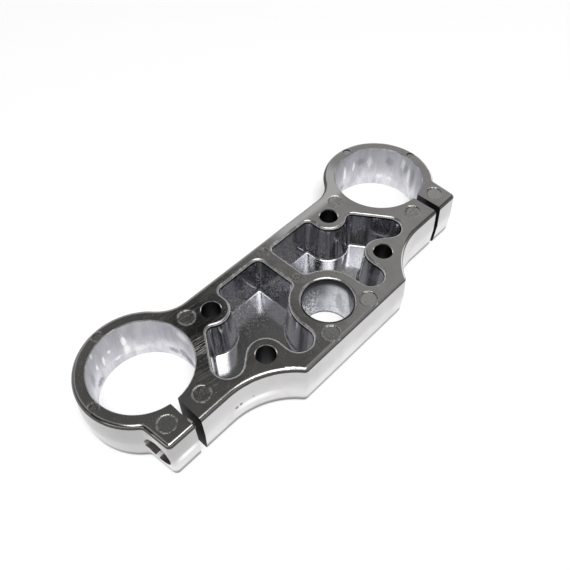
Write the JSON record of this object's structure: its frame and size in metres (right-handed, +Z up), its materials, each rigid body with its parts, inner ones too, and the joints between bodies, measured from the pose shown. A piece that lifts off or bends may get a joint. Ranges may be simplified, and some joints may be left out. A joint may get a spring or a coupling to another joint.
{
  "type": "motorcycle triple clamp",
  "caption": "Upper fork yoke cast in one piece: split rings clamp the fork legs on either side of a steering-stem bore, with lightening pockets and bosses for handlebar mounts.",
  "frame": {"origin": "on the steering-stem axis, at the flat face it rests on", "axes": "+X along the line through the fork bores, +Y from the stem bore towards that line, +Z up along the bores, towards the pocket side"},
  "size_m": [0.248, 0.0939, 0.029],
  "materials": {
    "polished_casting": "polished die casting, bores left as machined"
  },
  "bodies": {
    "root": {"triple_clamp": "polished_casting"}
  },
  "joints": []
}
